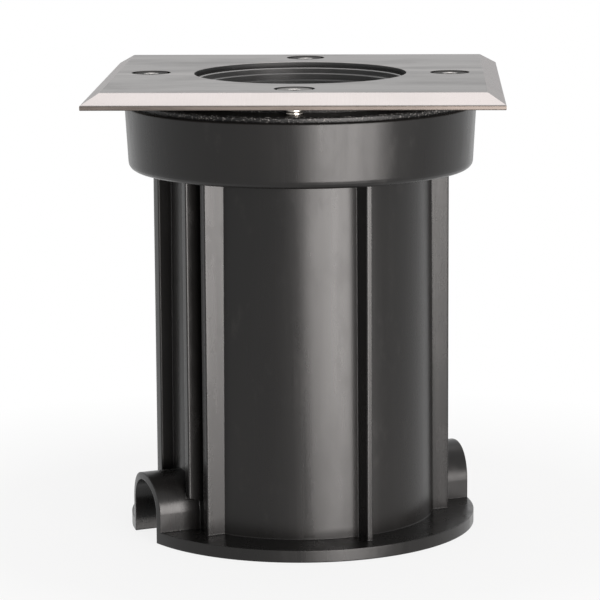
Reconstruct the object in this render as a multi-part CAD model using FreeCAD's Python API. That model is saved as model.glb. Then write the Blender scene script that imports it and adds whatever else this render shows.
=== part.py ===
import FreeCAD, Part
import math
import os

# Square in-ground well light, built as it comes apart on a bench.
# Units are millimetres, +Z is up.  The origin is the middle of the sleeve's foot,
# the cover plate's edges run along X and Y, and -Y faces the viewer.

Vector = FreeCAD.Vector

# ---------------------------------------------------------------- driving sizes
# The lamp sets the cup, the cup sets the sleeve's barrel and the glass, and the
# glass sets the rim, the screw circle, the flange and the collar.

# Reflector lamp with a two pin twist base.
LAMP_GAP = 1.8            # lens below the floor of the glass seat
LAMP_R = 25.0
LAMP_LENGTH = 48.0        # lens to the base's end face, pins not counted
LAMP_RIM = 3.2
LAMP_BASE_R = 12.5
LAMP_BASE_H = 17.0
LAMP_BASE_EDGE = 1.5
LAMP_WALL = 1.2
BOWL_MID = 0.42           # height share of the bowl's middle
BOWL_BELLY = 0.66         # how far the bowl has opened there, as a share
LENS_THICK = 2.2
LENS_SEAT = 1.8           # reflector rim outside the lens
LENS_FIT = 0.05
CAPSULE_R = 4.2
CAPSULE_LENGTH = 18.0
PIN_PITCH = 10.0
PIN_R = 1.5
PIN_LENGTH = 5.6
PIN_HEAD_R = 2.5
PIN_HEAD = 2.0
PIN_FIT = 0.35
TWIST_ANGLE = 22.0        # turn between locked and free, degrees

# Lamp housing: die-cast cup with a textured flange and a raised rim.
LAMP_TO_CUP = 2.0         # air round the lamp
CUP_WALL = 3.0
CUP_TAPER = 1.2
CUP_FLOOR = 3.0
CUP_EDGE_R = 2.5
CUP_R_TOP = LAMP_R + LAMP_TO_CUP + CUP_WALL
CUP_R_FOOT = CUP_R_TOP - CUP_TAPER
CUP_R_FLOOR = CUP_R_FOOT - CUP_WALL
LEDGE_THICK = 3.0         # floor of the glass seat
FLANGE_THICK = 4.0
FLANGE_RISE = 1.4         # flange top above the sleeve's rim
COVER_GAP = 2.75          # open gap between flange and cover plate
GLAND_BOSS_R = 13.0
GLAND_BOSS = 3.0
SCREW_BOSS_R = 4.0
SCREW_BOSS = 6.5

# Glass, its seals and the stepped ring that holds it down.
GLASS_LAP = 4.0           # glass over the ledge
GLASS_THICK = 6.0
GLASS_FIT = 0.4
GLASS_CHAMFER = 0.5
GLASS_R = CUP_R_TOP - CUP_WALL + GLASS_LAP
POCKET_R = GLASS_R + GLASS_FIT
LOWER_SEAL_THICK = 1.2
LOWER_SEAL_IN = 0.6       # seal's inner edge outside the ledge's edge
UPPER_SEAL_THICK = 0.8
UPPER_SEAL_IN = 1.0       # seal's inner edge outside the ring's narrowest step
RING_LAP = 2.7            # ring outside the glass
RING_FIT = 0.3
RING_HEIGHT = 4.8
RING_R = GLASS_R + RING_LAP
SPANNER_SLOT = 3.0
SPANNER_DEPTH = 1.6
RING_TO_COVER = 0.1
RIM_WALL = 3.4
RIM_R_IN = RING_R + RING_FIT
RIM_R = RIM_R_IN + RIM_WALL

# Four countersunk hexagon socket screws on the plate's two axes.
RIM_TO_SCREW = 3.6        # rim to the screws' axes
SCREW_TO_EDGE = 5.7       # screws' axes to the flange's edge
SCREW_CIRCLE_R = RIM_R + RIM_TO_SCREW
SCREW_D = 5.0
SCREW_HEAD_D = 9.6
SCREW_HEAD_RIM = 0.35
SCREW_SOCKET = 3.0
SCREW_SOCKET_DEPTH = 1.9
SCREW_LENGTH = 16.0
SCREW_POINT = 0.6
SCREW_SINK = 0.25         # head below the plate's face
SCREW_FIT = 0.25          # gap between the head's cone and its countersink
SCREW_SHANK_FIT = 0.3
SCREW_THREAD_FIT = 0.05
FLANGE_R = SCREW_CIRCLE_R + SCREW_TO_EDGE

# Cover seal and square cover plate.
COVER_SEAL_THICK = 1.3
COVER_SEAL_INSET = 0.2    # seal's inner edge outside the rim's
COVER_SEAL_WIDTH = 2.0
PLATE_SIDE = 110.0
PLATE_THICK = 4.15
PLATE_BEVEL_IN = 4.8
PLATE_BEVEL_DROP = 2.9
PLATE_WEB = 1.5           # thickness left round the aperture over the recess
RECESS_FIT = 0.3
APERTURE_LAP = 1.9        # plate's edge inside the glass
APERTURE_R = GLASS_R - APERTURE_LAP
RING_STEP_IN = (0.9, 2.4, 4.1)        # bright ring edges inside the aperture's edge
RING_STEP_DROP = (1.4, 1.7)           # height of the first two steps
RING_EDGE = 0.25                      # polished chamfer on each step's edge
RING_STEP_R = tuple(APERTURE_R - inside for inside in RING_STEP_IN)

# Installation sleeve: one black moulding that stays in the ground.
SLEEVE_TURN = 26.4        # angle of the cable arches from the X axis, degrees
FOOT_R = 48.0             # round foot flange
FOOT_THICK = 3.3
SEAT_HEIGHT = 107.4       # upper end of the barrel, where the seat ring lies
CUP_TO_BARREL = 3.5       # air round the housing's cup
BARREL_WALL = 2.5
BARREL_TAPER = 0.6
BARREL_R_TOP = CUP_R_TOP + CUP_TO_BARREL + BARREL_WALL
BARREL_R_FOOT = BARREL_R_TOP + BARREL_TAPER
SHOULDER_LAP = 0.1        # housing's shoulder outside the barrel
SHOULDER_R = BARREL_R_TOP + SHOULDER_LAP
SEAT_RING_THICK = 1.2
SEAT_RING_INSET = 0.3     # the seat ring stays inside the barrel's wall by this much

FLANGE_FIT = 0.35         # gap round the flange inside the collar lip
LIP_WALL = 1.3
COLLAR_LIP_DEPTH = 3.1    # depth of the thinner lip round the housing flange
COLLAR_HEIGHT = 17.6      # rim to the collar's lower edge
COLLAR_TAPER = 1.0
COLLAR_FLOOR = 2.5
COLLAR_EDGE_R = 2.0       # rounding of the collar's lower edge
COLLAR_WALL = 2.3
RIM_CHAMFER = 0.4
COLLAR_R_TOP = FLANGE_R + FLANGE_FIT + LIP_WALL
COLLAR_R_FOOT = COLLAR_R_TOP - COLLAR_TAPER

RIB_REACH = 3.7           # ribs stand this far off the barrel's foot, with upright edges
RIB_THICK = 3.0
RIB_OFFSET = 16.9         # plain ribs, each side of an arch's axis and parallel to it
ARCH_RIB_THICK = 2.8
ARCH_RIB_OFFSET = 9.9     # ribs that land on an arch, also parallel to its axis
ARCH_RIB_LOW = 10.9       # lower end of those ribs at the barrel
ARCH_RIB_LOW_OUT = 12.3   # and at their outer edge
RIB_EDGE_ROUND = 0.4
MOULD_RIB_ANGLE = 90.0    # rib across the arches' axis
MOULD_RIB_OFFSET = 1.0
MOULD_RIB_THICK = 1.8
MOULD_RIB_REACH = 5.5
RIB_R = BARREL_R_FOOT + RIB_REACH
MOULD_RIB_R = BARREL_R_FOOT + MOULD_RIB_REACH

ARCH_R_IN = 7.8           # cable arch, inside half width
ARCH_WALL = 1.95
ARCH_LEG = 8.4            # straight legs below the half round
ARCH_R_OUT = ARCH_R_IN + ARCH_WALL

# Lamp holder, its bracket and their screws.
HOLDER_R = 14.0
HOLDER_H = 15.0
HOLDER_GAP = 0.3
HOLDER_FLAT = 10.6        # half width across the holder's two flats
KEY_LIP = 3.2             # ceramic left above the pin heads
KEY_ROOM = 3.0            # room for the pin heads under the lip
CONTACT_THICK = 0.6
TAIL_R = 1.0              # contact tails through the holder
TAIL_FIT = 0.1
BRACKET_THICK = 1.5
BRACKET_WIDTH = 13.0
BRACKET_TO_CUP = 0.8
BRACKET_HOLE_IN = 6.8     # posts' axes inside the cup's wall
BRACKET_HOLE_X = CUP_R_FLOOR - BRACKET_HOLE_IN
HOLDER_SCREW_R = 1.5
HOLDER_SCREW_X = 11.0
HOLDER_SCREW_DEPTH = 8.0  # screw length in the ceramic
HOLE_TIP = 0.5            # room past a screw's tip
HOLE_FIT = 0.2
POST_R = 3.4              # cast posts under the bracket's ends
BRACKET_SCREW_R = 1.5
BRACKET_SCREW_LENGTH = 8.0
PAN_HEAD_R = 2.8
PAN_HEAD_H = 1.9
PAN_SLOT = 0.7

# Terminal block on the floor beside the gland.
WIRING_SPACE = 12.4       # floor of the cup to the underside of the bracket
BLOCK_X = 17.0
BLOCK_Y = 9.0
BLOCK_H = 13.0
BLOCK_EDGE = 0.8
BLOCK_IN = 7.2            # block's middle inside the cup's wall
BLOCK_OFFSET = CUP_R_FLOOR - BLOCK_IN
POLE_PITCH = 7.6
POLE_R = 2.6
POLE_HEIGHT = 7.6         # wire bores above the cup's floor
POLE_BORE_R = 1.7
POLE_SCREW_R = 1.45
POLE_SCREW_SINK = 0.6
EARTH_SCREW_R = 2.0
EARTH_SCREW_LENGTH = 5.0
EARTH_HEAD_R = 3.6
EARTH_BOSS_R = 4.4
EARTH_BOSS = 3.4
EARTH_IN = 7.2            # earth screw inside the cup's wall
EARTH_Y = EARTH_IN - CUP_R_FLOOR

# Cable gland in the floor.
GLAND_THREAD_R = 8.0
GLAND_THREAD_FIT = 0.05
GLAND_BORE_R = 5.2
GLAND_HEX = 20.0
GLAND_HEX_H = 5.0
GLAND_NECK = 9.0
GLAND_NECK_R = 7.6
GLAND_NECK_WALL = 1.3
GLAND_THREAD_ABOVE = 5.6
GLAND_POINT = 0.6
LOCKNUT_HEX = 20.0
LOCKNUT_H = 3.6
GLAND_WASHER = 1.0
DOME_HEX = 19.0
DOME_H = 13.0
DOME_GAP = 0.6
DOME_FIT = 0.06
DOME_MOUTH_R = 5.6
DOME_ROUND = 6.0          # height of the dome's rounded end
SEAL_R_IN = 3.4
SEAL_LENGTH = 7.0
SEAL_PROUD = 1.0          # seal below the neck's end

# Leads from the lamp holder to the terminal block.
LEAD_R = 0.9
LEAD_BEND = 2.4
LEAD_END = 3.0            # length pushed into a pole
LEAD_HOLE_FIT = 0.6

ARC_BANDS = 4             # straight bands that a turned round is made of

# ------------------------------------------------- heights that follow from them
Z_SEAT = SEAT_HEIGHT
Z_SHOULDER = Z_SEAT + SEAT_RING_THICK
Z_LEDGE = Z_SHOULDER + LEDGE_THICK
Z_GLASS = Z_LEDGE + LOWER_SEAL_THICK
Z_GLASS_TOP = Z_GLASS + GLASS_THICK
Z_RING = Z_GLASS_TOP + UPPER_SEAL_THICK
Z_RING_TOP = Z_RING + RING_HEIGHT
Z_WEB = Z_RING_TOP + RING_TO_COVER
Z_TOP = Z_WEB + PLATE_WEB
Z_PLATE = Z_TOP - PLATE_THICK
Z_FLANGE_TOP = Z_PLATE - COVER_GAP
Z_FLANGE = Z_FLANGE_TOP - FLANGE_THICK
Z_COLLAR_TOP = Z_FLANGE_TOP - FLANGE_RISE
Z_COLLAR = Z_COLLAR_TOP - COLLAR_HEIGHT
Z_RIM_TOP = Z_WEB - COVER_SEAL_THICK
Z_LENS = Z_LEDGE - LAMP_GAP
Z_BASE = Z_LENS - LAMP_LENGTH
Z_NECK_OF_LAMP = Z_BASE + LAMP_BASE_H
Z_HOLDER_TOP = Z_BASE - HOLDER_GAP
Z_HOLDER = Z_HOLDER_TOP - HOLDER_H
Z_BRACKET = Z_HOLDER - BRACKET_THICK
Z_FLOOR = Z_BRACKET - WIRING_SPACE
Z_CUP = Z_FLOOR - CUP_FLOOR
Z_BOSS = Z_CUP - GLAND_BOSS
Z_GLAND = Z_BOSS - GLAND_WASHER
Z_HEX = Z_GLAND - GLAND_HEX_H
Z_NECK = Z_HEX - GLAND_NECK
Z_DOME_TOP = Z_HEX - DOME_GAP
Z_DOME = Z_DOME_TOP - DOME_H


# ------------------------------------------------------------------- small tools
def arc_points(start, middle, end):
    """Points along the arc through three (radius, height) points, without the first."""
    arc = Part.Arc(Vector(start[0], 0, start[1]), Vector(middle[0], 0, middle[1]),
                   Vector(end[0], 0, end[1]))
    points = arc.toShape().discretize(Number=ARC_BANDS + 1)
    return [(point.x, point.z) for point in points[1:-1]] + [end]


def turned(points):
    """Solid of revolution about Z from a closed (radius, height) outline.

    A point is (r, z); a round is (mid_r, mid_z, end_r, end_z).
    """
    outline = [points[0]]
    for point in points[1:]:
        if len(point) == 4:
            outline.extend(arc_points(outline[-1], point[:2], point[2:]))
        else:
            outline.append(point)
    corners = [Vector(r, 0, z) for r, z in outline]
    face = Part.Face(Part.makePolygon(corners + [corners[0]]))
    return face.revolve(Vector(0, 0, 0), Vector(0, 0, 1), 360)


def corner(r_centre, z_centre, radius, r_sign, z_sign):
    """Middle point of a quarter round about a centre."""
    k = radius * math.sqrt(0.5)
    return (r_centre + r_sign * k, z_centre + z_sign * k)


def ring(r_in, r_out, z_low, z_high):
    """Flat ring with a rectangular section."""
    return turned([(r_in, z_low), (r_out, z_low), (r_out, z_high), (r_in, z_high)])


def cylinder(radius, z_low, z_high, x=0.0, y=0.0):
    return Part.makeCylinder(radius, z_high - z_low, Vector(x, y, z_low))


def hexagon(across_flats, z_low, z_high, x=0.0, y=0.0):
    """Hexagonal prism with its axis along Z."""
    radius = across_flats / math.sqrt(3.0)
    corners = []
    for i in range(7):
        angle = math.radians(60 * i + 30)
        corners.append(Vector(x + radius * math.cos(angle), y + radius * math.sin(angle), z_low))
    face = Part.Face(Part.makePolygon(corners))
    return face.extrude(Vector(0, 0, z_high - z_low))


def spun(shape, degrees):
    """Copy of a shape turned about Z."""
    copy = shape.copy()
    copy.rotate(Vector(0, 0, 0), Vector(0, 0, 1), degrees)
    return copy


def moved(shape, x, y, z=0.0):
    copy = shape.copy()
    copy.translate(Vector(x, y, z))
    return copy


def block(x_size, y_size, z_low, z_high, x=0.0, y=0.0):
    """Upright block centred on (x, y)."""
    corner_point = Vector(x - x_size / 2.0, y - y_size / 2.0, z_low)
    return Part.makeBox(x_size, y_size, z_high - z_low, corner_point)


def screw_turned(points, x, y):
    """Turned solid moved from the Z axis to (x, y)."""
    return moved(turned(points), x, y)


# ------------------------------------------------------------------------ sleeve
def barrel_r(z):
    """Outside radius of the tapered barrel at a height."""
    return BARREL_R_FOOT + (BARREL_R_TOP - BARREL_R_FOOT) * z / Z_SEAT


def collar_r(z):
    """Outside radius of the tapered collar at a height."""
    share = (z - Z_COLLAR) / (Z_COLLAR_TOP - Z_COLLAR)
    return COLLAR_R_FOOT + (COLLAR_R_TOP - COLLAR_R_FOOT) * share


def rib(angle, offset, thick, radius, low_in, low_out):
    """Flat rib beside the axis, from the barrel to an upright outer edge, up into the collar."""
    z_high = Z_COLLAR + COLLAR_FLOOR / 2.0
    x_edge = math.sqrt(radius ** 2 - offset ** 2)
    x_low, x_high = [math.sqrt((barrel_r(z) - BARREL_WALL / 2.0) ** 2 - offset ** 2)
                     for z in (low_in, z_high)]
    y = offset - thick / 2.0
    outline = [Vector(x_low, y, low_in), Vector(x_edge, y, low_out),
               Vector(x_edge, y, z_high), Vector(x_high, y, z_high)]
    face = Part.Face(Part.makePolygon(outline + [outline[0]]))
    body = face.extrude(Vector(0, thick, 0))
    outer = [edge for edge in body.Edges if edge.CenterOfMass.x > x_edge - 0.01
             and edge.Length > (z_high - low_out) / 2.0]
    return spun(body.makeFillet(RIB_EDGE_ROUND, outer), angle)


def arch_form(radius, reach):
    """Upside-down U with straight legs, run through the sleeve both ways along X."""
    left = Vector(-reach, -radius, 0)
    left_top = Vector(-reach, -radius, ARCH_LEG)
    crown = Vector(-reach, 0, ARCH_LEG + radius)
    right_top = Vector(-reach, radius, ARCH_LEG)
    right = Vector(-reach, radius, 0)
    edges = [
        Part.LineSegment(left, left_top).toShape(),
        Part.Arc(left_top, crown, right_top).toShape(),
        Part.LineSegment(right_top, right).toShape(),
        Part.LineSegment(right, left).toShape(),
    ]
    face = Part.Face(Part.Wire(edges))
    return face.extrude(Vector(2 * reach, 0, 0))


def installation_sleeve():
    """Foot flange, tapered barrel, ribs, two cable arches and the collar, in one moulding."""
    e = COLLAR_EDGE_R
    z_lip = Z_COLLAR_TOP - COLLAR_LIP_DEPTH
    z_floor = Z_COLLAR + COLLAR_FLOOR
    r_lip = FLANGE_R + FLANGE_FIT
    r_edge = collar_r(Z_COLLAR + e)
    mid = corner(r_edge - e, Z_COLLAR + e, e, 1, -1)
    body = turned([
        (barrel_r(0) - BARREL_WALL, 0),
        (FOOT_R, 0),
        (FOOT_R, FOOT_THICK),
        (barrel_r(FOOT_THICK), FOOT_THICK),
        (barrel_r(Z_COLLAR), Z_COLLAR),
        (r_edge - e, Z_COLLAR),
        (mid[0], mid[1], r_edge, Z_COLLAR + e),
        (collar_r(Z_COLLAR_TOP - RIM_CHAMFER), Z_COLLAR_TOP - RIM_CHAMFER),
        (COLLAR_R_TOP - RIM_CHAMFER, Z_COLLAR_TOP),
        (r_lip, Z_COLLAR_TOP),
        (r_lip, z_lip),
        (collar_r(z_lip) - COLLAR_WALL, z_lip),
        (collar_r(z_floor) - COLLAR_WALL, z_floor),
        (barrel_r(z_floor), z_floor),
        (BARREL_R_TOP, Z_SEAT),
        (BARREL_R_TOP - BARREL_WALL, Z_SEAT),
    ])
    arches = arch_form(ARCH_R_OUT, FOOT_R + 5)
    arches = arches.common(cylinder(FOOT_R, 0, ARCH_LEG + ARCH_R_OUT + 1))
    arches = arches.cut(cylinder(barrel_r(0) - BARREL_WALL / 2.0, -1, ARCH_LEG + ARCH_R_OUT + 2))
    parts = [spun(arches, SLEEVE_TURN)]
    for side in (0, 180):
        for sign in (-1, 1):
            parts.append(rib(SLEEVE_TURN + side, sign * RIB_OFFSET, RIB_THICK, RIB_R,
                             FOOT_THICK / 2.0, FOOT_THICK / 2.0))
            parts.append(rib(SLEEVE_TURN + side, sign * ARCH_RIB_OFFSET, ARCH_RIB_THICK, RIB_R,
                             ARCH_RIB_LOW, ARCH_RIB_LOW_OUT))
        parts.append(rib(SLEEVE_TURN + side + MOULD_RIB_ANGLE, MOULD_RIB_OFFSET, MOULD_RIB_THICK,
                         MOULD_RIB_R, FOOT_THICK / 2.0, FOOT_THICK / 2.0))
    body = body.fuse(parts)
    passage = spun(arch_form(ARCH_R_IN, FOOT_R + 10), SLEEVE_TURN)
    return body.cut(passage).removeSplitter()


def seat_ring():
    """Flat rubber ring on the barrel's upper end, which carries the lamp housing."""
    return ring(BARREL_R_TOP - BARREL_WALL + SEAT_RING_INSET, BARREL_R_TOP - SEAT_RING_INSET,
                Z_SEAT, Z_SHOULDER)


# ----------------------------------------------------------------- lamp housing
def screw_places():
    """Names and places of the four cover screws, on the plate's two axes."""
    return {
        "front": (0.0, -SCREW_CIRCLE_R),
        "back": (0.0, SCREW_CIRCLE_R),
        "left": (-SCREW_CIRCLE_R, 0.0),
        "right": (SCREW_CIRCLE_R, 0.0),
    }


def lamp_housing():
    """Cup for the lamp, glass seat, screw flange and raised rim, cast in one."""
    e = CUP_EDGE_R
    mid = corner(CUP_R_FOOT - e, Z_CUP + e, e, 1, -1)
    thread_r = GLAND_THREAD_R + GLAND_THREAD_FIT
    body = turned([
        (thread_r, Z_BOSS),
        (GLAND_BOSS_R, Z_BOSS),
        (GLAND_BOSS_R, Z_CUP),
        (CUP_R_FOOT - e, Z_CUP),
        (mid[0], mid[1], CUP_R_FOOT, Z_CUP + e),
        (CUP_R_TOP, Z_SHOULDER),
        (SHOULDER_R, Z_SHOULDER),
        (SHOULDER_R, Z_FLANGE),
        (FLANGE_R, Z_FLANGE),
        (FLANGE_R, Z_FLANGE_TOP - RIM_CHAMFER),
        (FLANGE_R - RIM_CHAMFER, Z_FLANGE_TOP),
        (RIM_R, Z_FLANGE_TOP),
        (RIM_R, Z_RIM_TOP),
        (RIM_R_IN, Z_RIM_TOP),
        (RIM_R_IN, Z_RING),
        (POCKET_R, Z_RING),
        (POCKET_R, Z_LEDGE),
        (CUP_R_TOP - CUP_WALL, Z_LEDGE),
        (CUP_R_FOOT - CUP_WALL, Z_FLOOR),
        (thread_r, Z_FLOOR),
    ])
    added = []
    holes = []
    tip = Z_TOP - SCREW_SINK - SCREW_LENGTH
    for x, y in screw_places().values():
        added.append(cylinder(SCREW_BOSS_R, Z_FLANGE - SCREW_BOSS, Z_FLANGE + 1, x, y))
        holes.append(cylinder(SCREW_D / 2.0 + SCREW_THREAD_FIT, tip - SCREW_POINT, Z_FLANGE_TOP + 1, x, y))
    for x in (-BRACKET_HOLE_X, BRACKET_HOLE_X):
        added.append(cylinder(POST_R, Z_FLOOR - 1, Z_BRACKET, x))
        z_tip = Z_HOLDER - BRACKET_SCREW_LENGTH
        holes.append(cylinder(BRACKET_SCREW_R, z_tip - HOLE_TIP, Z_BRACKET + 1, x))
    z_earth = Z_FLOOR + EARTH_BOSS
    added.append(cylinder(EARTH_BOSS_R, Z_FLOOR - 1, z_earth, 0, EARTH_Y))
    z_tip = z_earth - EARTH_SCREW_LENGTH - HOLE_TIP
    holes.append(cylinder(EARTH_SCREW_R, z_tip, z_earth + 1, 0, EARTH_Y))
    return body.fuse(added).cut(Part.makeCompound(holes)).removeSplitter()


def glass():
    """Round toughened glass with ground edges."""
    c = GLASS_CHAMFER
    return turned([
        (0, Z_GLASS), (GLASS_R - c, Z_GLASS), (GLASS_R, Z_GLASS + c),
        (GLASS_R, Z_GLASS_TOP - c), (GLASS_R - c, Z_GLASS_TOP), (0, Z_GLASS_TOP),
    ])


def retaining_ring():
    """Stepped black ring that screws down on the glass and shades it."""
    feet = [Z_RING_TOP - sum(RING_STEP_DROP[:i + 1]) for i in range(len(RING_STEP_DROP))] + [Z_RING]
    steps = []
    z = Z_RING_TOP
    for radius, z_foot in zip(RING_STEP_R, feet):
        steps.append((radius + RING_EDGE, z))
        steps.append((radius, z - RING_EDGE))
        steps.append((radius, z_foot))
        z = z_foot
    body = turned([(RING_R, Z_RING), (RING_R, Z_RING_TOP)] + steps)
    slots = []
    depth = RING_R - RING_STEP_R[0] - 2.2
    for side in (-1, 1):
        slots.append(block(2 * depth, SPANNER_SLOT, Z_RING_TOP - SPANNER_DEPTH,
                           Z_RING_TOP + 1, side * RING_R, 0))
    return body.cut(Part.makeCompound(slots))


# ------------------------------------------------------------------ cover plate
def square(side, z):
    h = side / 2.0
    corners = [Vector(-h, -h, z), Vector(h, -h, z), Vector(h, h, z), Vector(-h, h, z)]
    return Part.makePolygon(corners + [corners[0]])


def countersink_r():
    """Radius of a countersink where it meets the plate's face."""
    return SCREW_HEAD_D / 2.0 + SCREW_SINK + SCREW_FIT * math.sqrt(2.0)


def cover_seal_r():
    """Outside radius of the cover seal, which keeps clear of the countersinks."""
    return RIM_R_IN + COVER_SEAL_INSET + COVER_SEAL_WIDTH


def cover_plate():
    """Square steel plate, bevelled all round, with four countersinks and a round aperture."""
    z_bevel = Z_TOP - PLATE_BEVEL_DROP
    rim = Part.Face(square(PLATE_SIDE, Z_PLATE)).extrude(Vector(0, 0, z_bevel - Z_PLATE))
    top = Part.makeLoft([square(PLATE_SIDE, z_bevel), square(PLATE_SIDE - 2 * PLATE_BEVEL_IN, Z_TOP)],
                        True, True)
    body = rim.fuse(top).removeSplitter()
    holes = [
        cylinder(APERTURE_R, Z_PLATE - 1, Z_TOP + 1),
        cylinder(RIM_R + RECESS_FIT, Z_PLATE - 1, Z_RIM_TOP + RING_TO_COVER),
        cylinder(cover_seal_r() + COVER_SEAL_INSET, Z_PLATE - 1, Z_WEB),
    ]
    r_face = countersink_r()
    r_hole = SCREW_D / 2.0 + SCREW_SHANK_FIT
    for x, y in screw_places().values():
        holes.append(screw_turned([
            (0, Z_PLATE - 1), (r_hole, Z_PLATE - 1), (r_hole, Z_TOP - (r_face - r_hole)),
            (r_face, Z_TOP), (r_face, Z_TOP + 1), (0, Z_TOP + 1),
        ], x, y))
    return body.cut(Part.makeCompound(holes))


def cover_screw(x, y):
    """Countersunk screw with a hexagon socket."""
    z_head = Z_TOP - SCREW_SINK
    r_head = SCREW_HEAD_D / 2.0
    r_shank = SCREW_D / 2.0
    z_cone = z_head - SCREW_HEAD_RIM
    tip = z_head - SCREW_LENGTH
    body = screw_turned([
        (0, tip), (r_shank - SCREW_POINT, tip), (r_shank, tip + SCREW_POINT),
        (r_shank, z_cone - (r_head - r_shank)), (r_head, z_cone), (r_head, z_head), (0, z_head),
    ], x, y)
    return body.cut(hexagon(SCREW_SOCKET, z_head - SCREW_SOCKET_DEPTH, z_head + 1, x, y))


# ------------------------------------------------------------------------- lamp
def lamp_reflector():
    """Aluminium bowl of the lamp with its rim, open at both ends."""
    w = LAMP_WALL
    z_rim = Z_LENS - LAMP_RIM
    z_neck = Z_NECK_OF_LAMP
    r_lens = LAMP_R - LENS_SEAT
    z_mid = z_neck + BOWL_MID * (z_rim - z_neck)
    r_mid = LAMP_BASE_R + BOWL_BELLY * (LAMP_R - LAMP_BASE_R)
    return turned([
        (LAMP_BASE_R - w, z_neck),
        (LAMP_BASE_R, z_neck),
        (r_mid, z_mid, LAMP_R, z_rim),
        (LAMP_R, Z_LENS),
        (r_lens, Z_LENS),
        (r_lens, Z_LENS - LENS_THICK),
        (r_lens - w, Z_LENS - LENS_THICK),
        (r_lens - w, z_rim - w),
        (r_mid - w, z_mid + w / 2.0, LAMP_BASE_R - w, z_neck + w),
    ])


def lamp_lens():
    return cylinder(LAMP_R - LENS_SEAT - LENS_FIT, Z_LENS - LENS_THICK, Z_LENS)


def lamp_base():
    """Plastic base block of the lamp with a chamfered lower edge."""
    e = LAMP_BASE_EDGE
    return turned([
        (0, Z_BASE), (LAMP_BASE_R - e, Z_BASE), (LAMP_BASE_R, Z_BASE + e),
        (LAMP_BASE_R, Z_NECK_OF_LAMP), (0, Z_NECK_OF_LAMP),
    ])


def lamp_capsule():
    """Small glass burner standing on the lamp's base."""
    z_low = Z_NECK_OF_LAMP
    z_top = z_low + CAPSULE_LENGTH
    mid = corner(0, z_top - CAPSULE_R, CAPSULE_R, 1, 1)
    return turned([
        (0, z_low), (CAPSULE_R, z_low), (CAPSULE_R, z_top - CAPSULE_R), (mid[0], mid[1], 0, z_top),
    ])


def lamp_pins():
    """Two headed pins under the lamp's base."""
    pins = []
    z_end = Z_BASE - PIN_LENGTH
    for side in (-1, 1):
        pins.append(screw_turned([
            (0, z_end), (PIN_HEAD_R, z_end), (PIN_HEAD_R, z_end + PIN_HEAD),
            (PIN_R, z_end + PIN_HEAD), (PIN_R, Z_BASE), (0, Z_BASE),
        ], side * PIN_PITCH / 2.0, 0))
    return Part.makeCompound(pins)


# ------------------------------------------------------------------ lamp holder
def key_way(half_width, z_low, z_high):
    """Arc shaped way that a pin follows from locked to free, on the +X side."""
    r = PIN_PITCH / 2.0
    outline = [
        Vector(r - half_width, 0, z_low), Vector(r + half_width, 0, z_low),
        Vector(r + half_width, 0, z_high), Vector(r - half_width, 0, z_high),
    ]
    face = Part.Face(Part.makePolygon(outline + [outline[0]]))
    sector = face.revolve(Vector(0, 0, 0), Vector(0, 0, 1), TWIST_ANGLE)
    start = cylinder(half_width, z_low, z_high, r, 0)
    return sector.fuse([start, spun(start, TWIST_ANGLE)]).removeSplitter()


def lamp_holder():
    """Ceramic holder with two keyhole ways, room for the pin heads and two screw holes."""
    body = cylinder(HOLDER_R, Z_HOLDER, Z_HOLDER_TOP)
    body = body.common(block(4 * HOLDER_R, 2 * HOLDER_FLAT, Z_HOLDER, Z_HOLDER_TOP))
    z_lip = Z_HOLDER_TOP - KEY_LIP
    z_room = z_lip - KEY_ROOM
    entry_r = PIN_HEAD_R + PIN_FIT
    slot = key_way(PIN_R + PIN_FIT, z_lip - 0.1, Z_HOLDER_TOP + 1)
    room = key_way(entry_r, z_room, z_lip)
    entry = spun(cylinder(entry_r, z_lip - 0.1, Z_HOLDER_TOP + 1, PIN_PITCH / 2.0), TWIST_ANGLE)
    tail = cylinder(TAIL_R + TAIL_FIT, Z_HOLDER - 1, z_room + 0.1, PIN_PITCH / 2.0)
    way = slot.fuse([room, entry, tail])
    holes = [way, spun(way, 180)]
    for x in (-HOLDER_SCREW_X, HOLDER_SCREW_X):
        holes.append(cylinder(HOLDER_SCREW_R, Z_HOLDER - 1, Z_HOLDER + HOLDER_SCREW_DEPTH + HOLE_TIP, x))
    return body.cut(Part.makeCompound(holes))


def holder_contacts():
    """Two brass contacts under the pin heads, each with a tail through the holder."""
    z_room = Z_HOLDER_TOP - KEY_LIP - KEY_ROOM
    plate = key_way(PIN_HEAD_R, z_room, z_room + CONTACT_THICK)
    tail = cylinder(TAIL_R, Z_HOLDER, z_room + 0.2, PIN_PITCH / 2.0)
    contact = plate.fuse(tail).removeSplitter()
    return Part.makeCompound([contact, spun(contact, 180)])


def holder_bracket():
    """Steel strip across the cup that carries the holder on the two cast posts."""
    straight = BRACKET_HOLE_X
    body = block(2 * straight, BRACKET_WIDTH, Z_BRACKET, Z_HOLDER)
    ends = [cylinder(BRACKET_WIDTH / 2.0, Z_BRACKET, Z_HOLDER, x) for x in (-straight, straight)]
    body = body.fuse(ends).removeSplitter()
    body = body.common(cylinder(CUP_R_FLOOR - BRACKET_TO_CUP, Z_BRACKET, Z_HOLDER))
    holes = []
    for side in (-1, 1):
        for radius, x in ((BRACKET_SCREW_R + HOLE_FIT, BRACKET_HOLE_X),
                          (HOLDER_SCREW_R + HOLE_FIT, HOLDER_SCREW_X),
                          (LEAD_R + LEAD_HOLE_FIT, PIN_PITCH / 2.0)):
            holes.append(cylinder(radius, Z_BRACKET - 1, Z_HOLDER + 1, side * x))
    return body.cut(Part.makeCompound(holes))


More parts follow.
